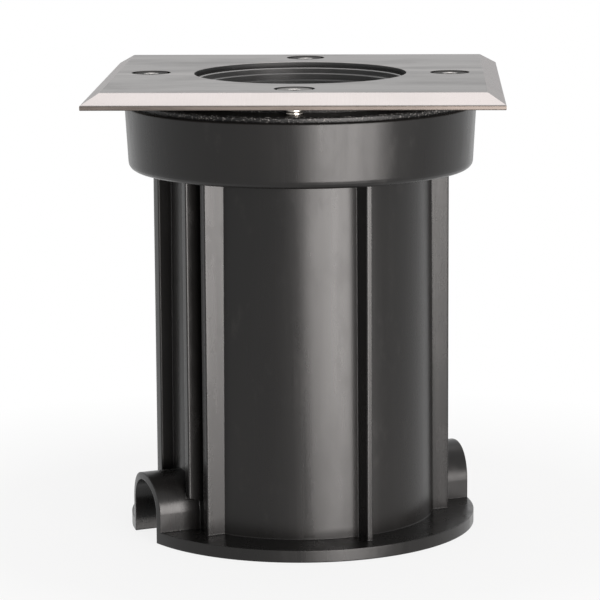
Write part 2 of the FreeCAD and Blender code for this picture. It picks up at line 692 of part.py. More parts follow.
def pan_screw(x, y, z_face, length, radius, head_r, up):
    """Small pan head screw; the head stands on z_face, above it when up is 1."""
    tip = z_face - up * length
    shank = cylinder(radius, min(tip, z_face), max(tip, z_face), x, y)
    z_end = z_face + up * PAN_HEAD_H
    bulge = 0.7
    head = turned([
        (0, z_face), (head_r, z_face), (head_r, z_face + up * 0.5 * PAN_HEAD_H),
        (head_r * bulge, z_end), (0, z_end),
    ])
    slot = block(3 * head_r, PAN_SLOT, z_end - 0.8, z_end + 0.8)
    return shank.fuse(moved(head.cut(slot), x, y)).removeSplitter()


def bracket_screws():
    screws = []
    for x in (-BRACKET_HOLE_X, BRACKET_HOLE_X):
        screws.append(pan_screw(x, 0, Z_HOLDER, BRACKET_SCREW_LENGTH, BRACKET_SCREW_R, PAN_HEAD_R, 1))
    return Part.makeCompound(screws)


def holder_screws():
    screws = []
    for x in (-HOLDER_SCREW_X, HOLDER_SCREW_X):
        length = BRACKET_THICK + HOLDER_SCREW_DEPTH
        screws.append(pan_screw(x, 0, Z_BRACKET, length, HOLDER_SCREW_R, PAN_HEAD_R, -1))
    return Part.makeCompound(screws)


# --------------------------------------------------------------- terminal block
def pole_places():
    return [-POLE_PITCH / 2.0, POLE_PITCH / 2.0]


def along_y(radius, length, x, y_middle, z):
    start = Vector(x, y_middle - length / 2.0, z)
    return Part.makeCylinder(radius, length, start, Vector(0, 1, 0))


def clamp_places():
    """Y places of the two clamping screws of a pole."""
    return [BLOCK_OFFSET - BLOCK_Y / 4.0, BLOCK_OFFSET + BLOCK_Y / 4.0]


def terminal_block():
    body = block(BLOCK_X, BLOCK_Y, Z_FLOOR, Z_FLOOR + BLOCK_H, 0, BLOCK_OFFSET)
    upright = [edge for edge in body.Edges if abs(edge.tangentAt(edge.FirstParameter).z) > 0.9]
    body = body.makeChamfer(BLOCK_EDGE, upright)
    z = Z_FLOOR + POLE_HEIGHT
    holes = []
    for x in pole_places():
        holes.append(along_y(POLE_R, BLOCK_Y + 2, x, BLOCK_OFFSET, z))
        for y in clamp_places():
            holes.append(cylinder(POLE_SCREW_R + 0.4, z, Z_FLOOR + BLOCK_H + 1, x, y))
    return body.cut(Part.makeCompound(holes))


def terminal_poles():
    """Brass tubes in the block that the wires are clamped in."""
    z = Z_FLOOR + POLE_HEIGHT
    poles = []
    for x in pole_places():
        pole = along_y(POLE_R, BLOCK_Y - 1.0, x, BLOCK_OFFSET, z)
        pole = pole.cut(along_y(POLE_BORE_R, BLOCK_Y, x, BLOCK_OFFSET, z))
        for y in clamp_places():
            pole = pole.cut(cylinder(POLE_SCREW_R, z, z + 2 * POLE_R, x, y))
        poles.append(pole)
    return Part.makeCompound(poles)


def terminal_screws():
    z = Z_FLOOR + POLE_HEIGHT
    z_top = Z_FLOOR + BLOCK_H - POLE_SCREW_SINK
    screws = []
    for x in pole_places():
        for y in clamp_places():
            body = cylinder(POLE_SCREW_R, z + LEAD_R, z_top, x, y)
            screws.append(body.cut(block(0.6, 4, z_top - 0.7, z_top + 1, x, y)))
    return Part.makeCompound(screws)


def holder_leads():
    """Two insulated leads from the holder's tails down and across into the poles."""
    leads = []
    z_turn = Z_FLOOR + POLE_HEIGHT
    for side in (-1, 1):
        start = Vector(side * PIN_PITCH / 2.0, 0, Z_HOLDER)
        knee = Vector(side * PIN_PITCH / 2.0, 0, z_turn)
        end = Vector(side * POLE_PITCH / 2.0, BLOCK_OFFSET - BLOCK_Y / 2.0 + LEAD_END, z_turn)
        run = (end - knee).normalize()
        before = knee + Vector(0, 0, LEAD_BEND)
        after = knee + run * LEAD_BEND
        path = Part.makePolygon([start, before, after, end])
        section = Part.Wire([Part.makeCircle(LEAD_R, start, Vector(0, 0, -1))])
        leads.append(path.makePipeShell([section], True, False, 1))
    return Part.makeCompound(leads)


def earth_screw():
    return pan_screw(0, EARTH_Y, Z_FLOOR + EARTH_BOSS, EARTH_SCREW_LENGTH, EARTH_SCREW_R,
                     EARTH_HEAD_R, 1)


# ------------------------------------------------------------------ cable gland
SEAL_R = GLAND_NECK_R - GLAND_NECK_WALL


def gland_body():
    """Hexagon, thread through the cup's floor and the neck that holds the seal."""
    z_top = Z_FLOOR + GLAND_THREAD_ABOVE
    z_seal = Z_NECK + SEAL_LENGTH - SEAL_PROUD
    stem = turned([
        (SEAL_R, Z_NECK), (GLAND_NECK_R, Z_NECK), (GLAND_NECK_R, Z_HEX), (GLAND_THREAD_R, Z_HEX),
        (GLAND_THREAD_R, z_top - GLAND_POINT), (GLAND_THREAD_R - GLAND_POINT, z_top),
        (GLAND_BORE_R, z_top),
        (GLAND_BORE_R, z_seal), (SEAL_R, z_seal),
    ])
    head = hexagon(GLAND_HEX, Z_HEX, Z_GLAND).cut(cylinder(GLAND_THREAD_R - 0.5, Z_HEX - 1, Z_GLAND + 1))
    return stem.fuse(head).removeSplitter()


def gland_washer():
    """Flat seal between the gland's hexagon and the cup."""
    return ring(GLAND_THREAD_R + 0.1, GLAND_HEX / 2.0, Z_GLAND, Z_BOSS)


def gland_locknut():
    """Hexagon nut on the gland's thread inside the cup."""
    body = hexagon(LOCKNUT_HEX, Z_FLOOR, Z_FLOOR + LOCKNUT_H)
    return body.cut(cylinder(GLAND_THREAD_R + GLAND_THREAD_FIT, Z_FLOOR - 1, Z_FLOOR + LOCKNUT_H + 1))


def gland_seal():
    """Rubber insert that closes round a cable."""
    z_low = Z_NECK - SEAL_PROUD
    return ring(SEAL_R_IN, SEAL_R, z_low, z_low + SEAL_LENGTH)


def gland_dome_nut():
    """Domed hexagon nut that squeezes the seal."""
    r_thread = GLAND_NECK_R + DOME_FIT
    z_inside = Z_NECK - 2.6
    body = hexagon(DOME_HEX, Z_DOME, Z_DOME_TOP)
    r_out = DOME_HEX / math.sqrt(3.0)
    dome = turned([
        (0, Z_DOME), (DOME_MOUTH_R + 1.2, Z_DOME),
        (r_out - 1.0, Z_DOME + 0.4 * DOME_ROUND), (r_out, Z_DOME + DOME_ROUND),
        (r_out, Z_DOME_TOP), (0, Z_DOME_TOP),
    ])
    bore = turned([
        (0, Z_DOME - 1), (DOME_MOUTH_R, Z_DOME - 1), (DOME_MOUTH_R, z_inside - 1.0),
        (r_thread, z_inside), (r_thread, Z_DOME_TOP + 1), (0, Z_DOME_TOP + 1),
    ])
    return body.common(dome).cut(bore)


# ------------------------------------------------------------------------ output
def lower_glass_seal():
    r_in = CUP_R_TOP - CUP_WALL + LOWER_SEAL_IN
    return ring(r_in, GLASS_R, Z_LEDGE, Z_GLASS)


def upper_glass_seal():
    return ring(RING_STEP_R[-1] + UPPER_SEAL_IN, GLASS_R, Z_GLASS_TOP, Z_RING)


def cover_seal():
    return ring(RIM_R_IN + COVER_SEAL_INSET, cover_seal_r(), Z_RIM_TOP, Z_WEB)


def build():
    """Every node by its name."""
    nodes = {
        "installation_sleeve": installation_sleeve(),
        "seat_ring": seat_ring(),
        "lamp_housing": lamp_housing(),
        "lower_glass_seal": lower_glass_seal(),
        "glass": glass(),
        "upper_glass_seal": upper_glass_seal(),
        "retaining_ring": retaining_ring(),
        "cover_seal": cover_seal(),
        "cover_plate": cover_plate(),
        "lamp_reflector": lamp_reflector(),
        "lamp_lens": lamp_lens(),
        "lamp_capsule": lamp_capsule(),
        "lamp_base": lamp_base(),
        "lamp_pins": lamp_pins(),
        "lamp_holder": lamp_holder(),
        "holder_contacts": holder_contacts(),
        "holder_bracket": holder_bracket(),
        "holder_screws": holder_screws(),
        "bracket_screws": bracket_screws(),
        "terminal_block": terminal_block(),
        "terminal_poles": terminal_poles(),
        "terminal_screws": terminal_screws(),
        "holder_leads": holder_leads(),
        "earth_screw": earth_screw(),
        "gland_body": gland_body(),
        "gland_washer": gland_washer(),
        "gland_locknut": gland_locknut(),
        "gland_seal": gland_seal(),
        "gland_dome_nut": gland_dome_nut(),
    }
    for name, (x, y) in screw_places().items():
        nodes["cover_screw_" + name] = cover_screw(x, y)
    return nodes


os.makedirs("parts", exist_ok=True)
for node_name, node_shape in build().items():
    node_shape.exportStep("parts/" + node_name + ".step")
    solids = node_shape.Solids
    valid = all(solid.isValid() for solid in solids)
    print(node_name, len(solids), "solid(s)", round(node_shape.Volume, 1), "mm3", "valid", valid)
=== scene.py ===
# %% [markdown]
# # A square in-ground well light
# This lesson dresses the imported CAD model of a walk-over garden light: a bevelled
# steel plate, black stepped rings round the glass and a ribbed black sleeve.

# %% Load the frame
import math
import bmesh
import bpy
from mathutils import Matrix, Vector


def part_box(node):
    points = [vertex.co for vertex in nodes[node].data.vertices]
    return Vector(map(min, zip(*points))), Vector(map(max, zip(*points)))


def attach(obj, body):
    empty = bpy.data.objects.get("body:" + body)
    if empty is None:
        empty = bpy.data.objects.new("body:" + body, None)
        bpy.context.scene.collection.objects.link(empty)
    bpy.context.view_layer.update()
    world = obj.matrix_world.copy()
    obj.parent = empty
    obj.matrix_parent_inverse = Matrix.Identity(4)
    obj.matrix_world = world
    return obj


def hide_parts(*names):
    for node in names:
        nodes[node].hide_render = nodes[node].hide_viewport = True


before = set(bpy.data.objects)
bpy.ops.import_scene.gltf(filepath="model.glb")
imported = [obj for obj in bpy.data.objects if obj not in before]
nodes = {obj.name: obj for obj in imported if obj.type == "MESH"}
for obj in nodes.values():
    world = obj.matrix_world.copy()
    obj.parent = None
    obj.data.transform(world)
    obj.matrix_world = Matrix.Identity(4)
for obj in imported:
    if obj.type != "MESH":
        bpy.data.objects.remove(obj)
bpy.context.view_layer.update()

MM = 0.001

# %% [markdown]
# ## The camera
# The photo was taken from just above the plate with a long lens, so the four sides
# hardly converge. A camera could be placed by its own coordinates, but a turn and a
# height angle round the point that it looks at are easier to fit to a photo. That
# point is measured down from the plate's top, so the view stays on the object if
# its height changes. The photo leans by a third of a degree, so the camera does too.

# %% Place the camera
plate_low, plate_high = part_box("cover_plate")
AIM_SIDE = -0.45 * MM
AIM_BELOW_TOP = 63.5 * MM
CAMERA_TURN = math.radians(2.21)
CAMERA_RISE = math.radians(10.19)
CAMERA_ROLL = math.radians(-0.35)
CAMERA_DISTANCE = 850.3 * MM
LENS_LENGTH = 183.4           # in millimetres, as lenses are named
FAR_END = 20.0                # the camera sees no further than this, in metres

def direction(turn, rise):
    """Unit vector from the object towards a place round it."""
    flat = math.cos(rise)
    return Vector((math.sin(turn) * flat, -math.cos(turn) * flat, math.sin(rise)))

eye = bpy.data.cameras.new("photo_camera")
eye.lens = LENS_LENGTH
eye.clip_end = FAR_END
camera = bpy.data.objects.new("photo_camera", eye)
aim = Vector((AIM_SIDE, 0.0, plate_high.z - AIM_BELOW_TOP))
back = direction(CAMERA_TURN, CAMERA_RISE)
camera.location = aim + back * CAMERA_DISTANCE
upright = (-back).to_track_quat("-Z", "Y").to_matrix()
camera.rotation_euler = (upright @ Matrix.Rotation(CAMERA_ROLL, 3, "Z")).to_euler()
bpy.context.scene.collection.objects.link(camera)
bpy.context.scene.camera = camera
bpy.context.scene.view_settings.view_transform = "Standard"
print("camera stands", [round(c, 3) for c in camera.location], "m")

# %% [markdown]
# ## A finish and its patterns
# No real surface is even: each has its own clouds, scratches or grains. They could
# be painted on pictures, but noise that is worked out on the spot needs no file and
# stays sharp from near. Object coordinates keep a pattern fixed to its piece, and
# the mapping's scale stretches it, which is how brushing lines are made.

# %% Helpers for a finish
def new_finish(name, roughness, metallic=0.0):
    """Empty material with one Principled shader; returns material, nodes and shader."""
    material = bpy.data.materials.new(name)
    material.use_nodes = True
    tree = material.node_tree
    shader = tree.nodes["Principled BSDF"]
    shader.inputs["Roughness"].default_value = roughness
    shader.inputs["Metallic"].default_value = metallic
    return material, tree, shader

def pattern(tree, stretch, detail=3.0, rough=0.55):
    """Noise on object coordinates; stretch gives its cells per metre along X, Y and Z."""
    place = tree.nodes.new("ShaderNodeTexCoord")
    mapping = tree.nodes.new("ShaderNodeMapping")
    mapping.inputs["Scale"].default_value = stretch
    noise = tree.nodes.new("ShaderNodeTexNoise")
    noise.inputs["Scale"].default_value = 1.0
    noise.inputs["Detail"].default_value = detail
    noise.inputs["Roughness"].default_value = rough
    tree.links.new(place.outputs["Object"], mapping.inputs["Vector"])
    tree.links.new(mapping.outputs["Vector"], noise.inputs["Vector"])
    return noise.outputs["Fac"]

print("finish helpers ready")

# %% [markdown]
# ## Steering a value with a pattern
# A noise pattern gives values near one half. To steer a colour or a roughness, its
# middle range is first spread over the wanted range, and two colours are then mixed
# by the result. Small helpers do it, so each finish below reads as a short list.

# %% Helpers that join shader nodes
def spread(tree, value, low, high, start=0.3, end=0.7):
    """Maps the range of a value from start to end onto low to high."""
    node = tree.nodes.new("ShaderNodeMapRange")
    node.inputs["From Min"].default_value = start
    node.inputs["From Max"].default_value = end
    node.inputs["To Min"].default_value = low
    node.inputs["To Max"].default_value = high
    tree.links.new(value, node.inputs["Value"])
    return node.outputs["Result"]

def calculate(tree, operation, first, second):
    """One sum on two values, such as ADD, MULTIPLY or MAXIMUM."""
    node = tree.nodes.new("ShaderNodeMath")
    node.operation = operation
    tree.links.new(first, node.inputs[0])
    tree.links.new(second, node.inputs[1])
    return node.outputs[0]

def blend_colours(tree, share, first, second):
    """Mixes two colours, or a colour socket and a colour, by a share from 0 to 1."""
    node = tree.nodes.new("ShaderNodeMix")
    node.data_type = "RGBA"
    tree.links.new(share, node.inputs[0])
    for socket, colour in ((node.inputs[6], first), (node.inputs[7], second)):
        if isinstance(colour, tuple):
            socket.default_value = (*colour, 1.0)
        else:
            tree.links.new(colour, socket)
    return node.outputs[2]

print("joining helpers ready")

# %% [markdown]
# ## White table
# The light stands on a small round white table, as small products are photographed.
# A large lit floor would do, but its horizon shows and it shades the lamps that
# stand low. So the table's finish is mixed with plain white where the camera sees
# it, more so towards its edge: it keeps the object's soft shadow and has no end.

# %% Finish of the table
TABLE_RADIUS = 200.0 * MM
PLAIN_SHARE = 0.84            # share of plain white round the object
FADE_START = 0.45 * TABLE_RADIUS
FADE_END = 0.9 * TABLE_RADIUS

def seen_directly(tree):
    """1 where the camera, a mirror or a glass looks at a surface, 0 where it lights others."""
    path = tree.nodes.new("ShaderNodeLightPath")
    most = path.outputs["Is Camera Ray"]
    for kind in ("Is Glossy Ray", "Is Transmission Ray"):
        most = calculate(tree, "MAXIMUM", most, path.outputs[kind])
    return most

def distance_from_middle(tree):
    """How far a point lies from the object's origin, in metres."""
    place = tree.nodes.new("ShaderNodeTexCoord")
    length = tree.nodes.new("ShaderNodeVectorMath")
    length.operation = "LENGTH"
    tree.links.new(place.outputs["Object"], length.inputs[0])
    return length.outputs["Value"]

def white_table():
    """White table that keeps the object's shadow and fades to plain white at its edge."""
    material, tree, shader = new_finish("white_table", 0.8)
    shade = spread(tree, pattern(tree, (3.0, 3.0, 3.0)), 0.0, 1.0)
    colour = blend_colours(tree, shade, (0.80, 0.80, 0.80), (0.83, 0.83, 0.83))
    tree.links.new(colour, shader.inputs["Base Color"])
    fade = spread(tree, distance_from_middle(tree), PLAIN_SHARE, 1.0, FADE_START, FADE_END)
    share = calculate(tree, "MULTIPLY", seen_directly(tree), fade)
    glow = tree.nodes.new("ShaderNodeEmission")
    mix = tree.nodes.new("ShaderNodeMixShader")
    tree.links.new(share, mix.inputs[0])
    tree.links.new(shader.outputs[0], mix.inputs[1])
    tree.links.new(glow.outputs[0], mix.inputs[2])
    tree.links.new(mix.outputs[0], tree.nodes["Material Output"].inputs["Surface"])
    return material

table_white = white_table()
print("made", table_white.name)

# %% [markdown]
# ## The table's disc
# Black plastic shows what is round it. The sleeve's upright walls mirror what lies
# just below eye level, so the umbrella lamp reaches below the table, and the table
# neither shows in reflections nor shades the lamps. It is one flat disc, a hair
# below the sleeve's foot so that the two faces never share a height.

# %% Build the table
TABLE_SIDES = 96
TABLE_GAP = 0.1 * MM

def link_piece(name, maker, finishes):
    """Turns a filled bmesh into an object with its finishes."""
    mesh = bpy.data.meshes.new(name)
    maker.to_mesh(mesh)
    maker.free()
    for finish in finishes:
        mesh.materials.append(finish)
    piece = bpy.data.objects.new(name, mesh)
    bpy.context.scene.collection.objects.link(piece)
    return piece

ground = bmesh.new()
lowered = Matrix.Translation((0.0, 0.0, -TABLE_GAP))
bmesh.ops.create_circle(ground, cap_ends=True, segments=TABLE_SIDES, radius=TABLE_RADIUS, matrix=lowered)
table = link_piece("table", ground, [table_white])
table.visible_glossy = False
table.visible_shadow = False
print("table across in m:", round(table.dimensions.x, 2))

# %% [markdown]
# ## The room
# A white room lights a product from all sides and is what its steel mirrors. Walls
# could be built, but a plain white world does the same at no cost. The camera and
# the mirrors see it fully white, while it lights the object at under half of that,
# so that the lamps still give the black sleeve its shape.

# %% World
ROOM_LIGHT = 0.45
WHITE = (1.0, 1.0, 1.0, 1.0)

def white_room(strength):
    """World that looks white and lights the object at a plain level."""
    world = bpy.data.worlds.new("white_room")
    world.use_nodes = True
    tree = world.node_tree
    seen = tree.nodes.new("ShaderNodeBackground")
    seen.inputs["Color"].default_value = WHITE
    lights = tree.nodes["Background"]
    lights.inputs["Color"].default_value = WHITE
    lights.inputs["Strength"].default_value = strength
    mix = tree.nodes.new("ShaderNodeMixShader")
    tree.links.new(seen_directly(tree), mix.inputs[0])
    tree.links.new(lights.outputs[0], mix.inputs[1])
    tree.links.new(seen.outputs[0], mix.inputs[2])
    tree.links.new(mix.outputs[0], tree.nodes["World Output"].inputs["Surface"])
    bpy.context.scene.world = world

white_room(ROOM_LIGHT)
print("world lights at", ROOM_LIGHT)

# %% [markdown]
# ## Two soft lamps
# In the photo one bright upright band runs down the collar and the barrel, a little
# right of the middle. It is the mirror image of one wide lamp that stands low at the
# front right. An oval one is used, like an umbrella, because its image is narrow on
# the slanted collar, which mirrors its lower end, and wider on the upright barrel. A
# weak second lamp, high and behind, lights the plate's top.

# %% Lamps
WARM_WHITE = (1.0, 0.955, 0.93)
LAMP_AIM = Vector((0.0, 0.0, 60.0 * MM))

def softbox(name, turn, rise, distance, width, height, power, shape="RECTANGLE"):
    """Wide lamp at a turn and rise in degrees round the object, facing it."""
    lamp = bpy.data.lights.new(name, "AREA")
    lamp.shape = shape
    lamp.size = width
    lamp.size_y = height
    lamp.energy = power
    lamp.color = WARM_WHITE
    holder = bpy.data.objects.new(name, lamp)
    way = direction(math.radians(turn), math.radians(rise))
    holder.location = LAMP_AIM + way * distance
    holder.rotation_euler = (-way).to_track_quat("-Z", "Y").to_euler()
    bpy.context.scene.collection.objects.link(holder)

softbox("right_umbrella", turn=30.5, rise=-1.5, distance=0.9,
        width=0.88, height=0.52, power=18.5, shape="ELLIPSE")
softbox("top_softbox", turn=172.0, rise=70.0, distance=1.4, width=1.1, height=0.8, power=3.2)

# %% [markdown]
# ## Reliefs and soft edges
# A surface's finest grain is too small to build, a few hundredths of a millimetre.
# A bump tilts the light on it and leaves the mesh as it is, and reliefs can be
# stacked by handing one's result to the next. A bevel node does the same for sharp
# edges: it gives the thin light lines of moulded edges without a heavier mesh.

# %% Helpers for the surface
EDGE_SAMPLES = 6

def relief(tree, shader, value, height, strength=1.0, under=None):
    """Raises the surface by a pattern, by a height in metres; under is a relief below it."""
    bump = tree.nodes.new("ShaderNodeBump")
    bump.inputs["Strength"].default_value = strength
    bump.inputs["Distance"].default_value = height
    tree.links.new(value, bump.inputs["Height"])
    if under:
        tree.links.new(under, bump.inputs["Normal"])
    tree.links.new(bump.outputs["Normal"], shader.inputs["Normal"])
    return bump.outputs["Normal"]

def soft_edges(tree, radius):
    """Normals that round off sharp edges by a radius, as a mould leaves them."""
    node = tree.nodes.new("ShaderNodeBevel")
    node.samples = EDGE_SAMPLES
    node.inputs["Radius"].default_value = radius
    return node.outputs["Normal"]

print("relief helpers ready")

# %% [markdown]
# ## Satin black moulding
# The sleeve is moulded polypropylene: nearly black, with a satin skin. The mould's
# fine spark texture scatters the reflections, the plastic's flow leaves faint
# upright streaks, and handling leaves small dusty rubs. They could be painted one by
# one, but patterns that steer colour, roughness and a shallow relief cover the whole
# sleeve evenly.

# %% Finish of the sleeve
SATIN = 0.3                   # roughness of the untouched skin
SATIN_SHINE = 0.27
MOULD_EDGE = 0.45 * MM
DUST = (0.018, 0.017, 0.016)

def satin_moulding(name, dark, light):
    """Nearly black plastic with streaks, rubs and a fine texture."""
    material, tree, shader = new_finish(name, SATIN)
    shader.inputs["Specular IOR Level"].default_value = SATIN_SHINE
    flow = pattern(tree, (130.0, 130.0, 5.0), 4.0)
    cloud = pattern(tree, (22.0, 22.0, 14.0), 3.0)
    rubs = pattern(tree, (150.0, 150.0, 70.0), 5.0, 0.7)
    texture = pattern(tree, (2600.0, 2600.0, 2600.0), 2.0)
    strokes = pattern(tree, (1100.0, 1100.0, 30.0), 3.0, 0.7)
    colour = blend_colours(tree, spread(tree, cloud, 0.0, 1.0), dark, light)
    dusty = blend_colours(tree, spread(tree, rubs, 0.0, 0.5, 0.58, 0.78), colour, DUST)
    tree.links.new(dusty, shader.inputs["Base Color"])
    streaks = spread(tree, flow, SATIN - 0.08, SATIN + 0.06)
    scuffed = calculate(tree, "ADD", streaks, spread(tree, rubs, 0.0, 0.08, 0.5, 0.75))
    tree.links.new(scuffed, shader.inputs["Roughness"])
    waves = relief(tree, shader, flow, 0.05 * MM, 0.5, soft_edges(tree, MOULD_EDGE))
    drawn = relief(tree, shader, strokes, 0.02 * MM, 0.4, waves)
    relief(tree, shader, texture, 0.01 * MM, 0.7, drawn)
    return material

sleeve_finish = satin_moulding("satin_black_moulding",
                               dark=(0.0042, 0.0040, 0.0039), light=(0.0068, 0.0063, 0.0060))
print("made", sleeve_finish.name)

# %% [markdown]
# ## Textured powder coat
# The cast housing has a coarse black powder coat; its flange shows in the gap under the plate. Grains
# could be scattered as small bodies, but noise of their size does it: its peaks stand about a tenth of a
# millimetre high, and are painted lighter as painted glints where the grains sparkle.

# %% Finish of the housing
GRAIN_SIZE = 0.45 * MM
GRAIN_HEIGHT = 0.1 * MM
COAT_SHINE = 0.24
GRAIN_PAINTED_GLINT = (0.14, 0.135, 0.13)

def powder_coat(name):
    """Black coat with raised grains, their peaks painted lighter as painted glints."""
    material, tree, shader = new_finish(name, 0.4)
    grains = pattern(tree, (1.0 / GRAIN_SIZE,) * 3, 1.5, 0.5)
    cloud = pattern(tree, (40.0, 40.0, 40.0), 2.0)
    faint = spread(tree, cloud, 0.0, 1.0)
    colour = blend_colours(tree, faint, (0.003, 0.003, 0.003), (0.007, 0.007, 0.007))
    # grain peaks painted lighter: painted glints
    bright = blend_colours(tree, spread(tree, grains, 0.0, 1.0, 0.56, 0.7), colour, GRAIN_PAINTED_GLINT)
    shader.inputs["Specular IOR Level"].default_value = COAT_SHINE
    tree.links.new(bright, shader.inputs["Base Color"])
    tree.links.new(spread(tree, grains, 0.3, 0.5), shader.inputs["Roughness"])
    relief(tree, shader, grains, GRAIN_HEIGHT, 0.9)
    return material

coat = powder_coat("textured_black_coat")
print("made", coat.name)

# %% [markdown]
# ## Brushed steel
# A belt brushes the plate's top along X, so its scratches are noise stretched along
# X. Hands and rain leave darker marks on it. Steel turns white in a plain metal
# shader when it is seen at a low angle, and real brushed steel does less so, because
# its scratches shade each other; the lowered specular tint stands for that.

# %% Steel maker
STAIN_SHADE = 0.72            # share of the brightness that is left under a mark
SCRATCH_HEIGHT = 0.012 * MM

def brushed_steel(name, base, stretch, skin, edge, contrast=0.8, stain=0.4):
    """Brushed metal; stretch is its scratches' cells per metre, edge its low-angle shine."""
    material, tree, shader = new_finish(name, skin, 1.0)
    shader.inputs["Specular Tint"].default_value = (edge, edge, edge, 1.0)
    lines = pattern(tree, stretch, 6.0, 0.7)
    stains = pattern(tree, (26.0, 60.0, 40.0), 5.0, 0.6)
    dark = tuple(c * contrast for c in base)
    light = tuple(min(c * (2.0 - contrast), 1.0) for c in base)
    marked = tuple(c * STAIN_SHADE for c in base)
    brushed = blend_colours(tree, spread(tree, lines, 0.0, 1.0), dark, light)
    worn = blend_colours(tree, spread(tree, stains, 0.0, stain, 0.46, 0.66), brushed, marked)
    tree.links.new(worn, shader.inputs["Base Color"])
    tree.links.new(spread(tree, lines, skin - 0.06, skin + 0.08), shader.inputs["Roughness"])
    relief(tree, shader, lines, SCRATCH_HEIGHT, 0.5)
    return material

print("steel maker ready")

# %% [markdown]
# ## Nine kinds of steel
# The bevels are ground across their edge. The narrow rim is painted dark brownish, as a painted
# reflection of the dark surroundings that it mirrors. The walls of the aperture and the countersinks are
# painted nearly black, as painted shade. The screws come as a lit and a shaded copy of one steel. The
# back, left and right heads are painted darker than the plate as painted shade, and the front one
# lighter as painted light. Their sockets and threads carry painted highlights. One table of values makes
# them all, so they can be compared line by line.

# %% Steel finishes
STEELS = {
    "brushed_top": dict(base=(0.46, 0.45, 0.445), stretch=(11.0, 420.0, 420.0),
                        skin=0.34, edge=0.55, contrast=0.80, stain=1.0),
    "ground_bevel": dict(base=(0.44, 0.415, 0.41), stretch=(1300.0, 40.0, 40.0),
                         skin=0.3, edge=0.55, contrast=0.92, stain=0.2),
    # rim painted dark brownish: a painted reflection of the dark surroundings
    "rim_painted_reflection": dict(base=(0.10, 0.086, 0.077), stretch=(60.0, 60.0, 1500.0), skin=0.36, edge=0.6),
    # aperture wall painted nearly black: painted shade
    "bore_painted_shade": dict(base=(0.07, 0.07, 0.07), stretch=(80.0, 80.0, 1200.0), skin=0.55, edge=0.5),
    # countersinks painted dark: painted shade in the recess
    "countersink_painted_shade": dict(base=(0.05, 0.049, 0.048), stretch=(600.0, 600.0, 900.0),
                             skin=0.4, edge=0.3),
    # back, left and right screw heads painted darker: painted shade
    "shaded_screw_head": dict(base=(0.12, 0.118, 0.116), stretch=(500.0, 500.0, 900.0),
                       skin=0.34, edge=0.3),
    # front screw head painted lighter: painted light
    "lit_screw_head": dict(base=(0.36, 0.35, 0.34), stretch=(500.0, 500.0, 900.0),
                       skin=0.3, edge=0.45),
    # sockets painted bright: painted highlight
    "socket_painted_highlight": dict(base=(0.42, 0.41, 0.40), stretch=(900.0, 900.0, 900.0),
                          skin=0.25, edge=0.6),
    # threads painted bright: painted highlight
    "thread_painted_highlight": dict(base=(0.70, 0.66, 0.60), stretch=(900.0, 900.0, 900.0),
                          skin=0.22, edge=0.9),
}
steel = {name: brushed_steel(name, **values) for name, values in STEELS.items()}
print("made the steel finishes:", len(steel))

# %% [markdown]
# ## Black stepped ring
# The ring inside the aperture is black all over, with a painted highlight along each step's edge where
# its chamfer catches the light. Each chamfer could be a face group of its own, but only the chamfers
# point half up and half inwards, so the direction of a face picks them out. The painted highlight fades
# with depth, as painted shade deeper in the aperture.

# %% Finish of the ring
ring_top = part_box("retaining_ring")[1].z
HIGHLIGHT_FADE_DEPTH = 3.0 * MM        # deeper than this below the ring's top no painted highlight is left
# grey of the painted highlight on the step edges
RING_EDGE_PAINTED_HIGHLIGHT = (0.34, 0.34, 0.34)

def object_axis(tree, kind, axis):
    """One axis of the piece's Normal or Object coordinates."""
    place = tree.nodes.new("ShaderNodeTexCoord")
    split = tree.nodes.new("ShaderNodeSeparateXYZ")
    tree.links.new(place.outputs[kind], split.inputs[0])
    return split.outputs[axis]

def ring_with_painted_highlights(name):
    """Black ring with painted highlights on the edges of its upper steps, fading with depth as painted
    shade.
    """
    material, tree, shader = new_finish(name, 0.4)
    cloud = spread(tree, pattern(tree, (150.0, 150.0, 150.0), 3.0), 0.0, 1.0)
    fine = pattern(tree, (1500.0, 1500.0, 1500.0), 2.0)
    black = blend_colours(tree, cloud, (0.044, 0.044, 0.044), (0.060, 0.060, 0.060))
    upward = object_axis(tree, "Normal", "Z")
    not_upright = spread(tree, upward, 0.0, 1.0, 0.45, 0.6)
    not_flat = spread(tree, upward, 1.0, 0.0, 0.8, 0.95)
    height = object_axis(tree, "Object", "Z")
    reach = spread(tree, height, 0.0, 1.0, ring_top - HIGHLIGHT_FADE_DEPTH, ring_top)
    # chamfers of the upper steps get the painted highlight, fading with depth as painted shade
    chamfer = calculate(tree, "MULTIPLY", not_upright, not_flat)
    share = calculate(tree, "MULTIPLY", chamfer, reach)
    tree.links.new(blend_colours(tree, share, black, RING_EDGE_PAINTED_HIGHLIGHT), shader.inputs["Base Color"])
    tree.links.new(spread(tree, fine, 0.36, 0.46), shader.inputs["Roughness"])
    relief(tree, shader, fine, 0.01 * MM, 0.5)
    return material

ring_black = ring_with_painted_highlights("blackened_ring")
print("made", ring_black.name)

# %% [markdown]
# ## The inner pieces
# The pieces inside the housing show through the glass or when the light is taken
# apart, and each gets the finish that its real material has: rubber seals, a ceramic
# holder, brass contacts. They are seen small, so faint clouds of colour and a fine
# grain are enough, and one maker serves them all.

# %% Plain finish maker
def plain_finish(name, colour, roughness, metallic=0.0, grain=900.0, height=0.01 * MM):
    """Finish with faint clouds of colour and a fine grain."""
    material, tree, shader = new_finish(name, roughness, metallic)
    cloud = pattern(tree, (120.0, 120.0, 120.0), 3.0)
    fine = pattern(tree, (grain, grain, grain), 2.0)
    dark = tuple(c * 0.86 for c in colour)
    mixed = blend_colours(tree, spread(tree, cloud, 0.0, 1.0), colour, dark)
    tree.links.new(mixed, shader.inputs["Base Color"])
    grainy = spread(tree, fine, roughness - 0.04, roughness + 0.06)
    tree.links.new(grainy, shader.inputs["Roughness"])
    relief(tree, shader, fine, height, 0.5)
    return material

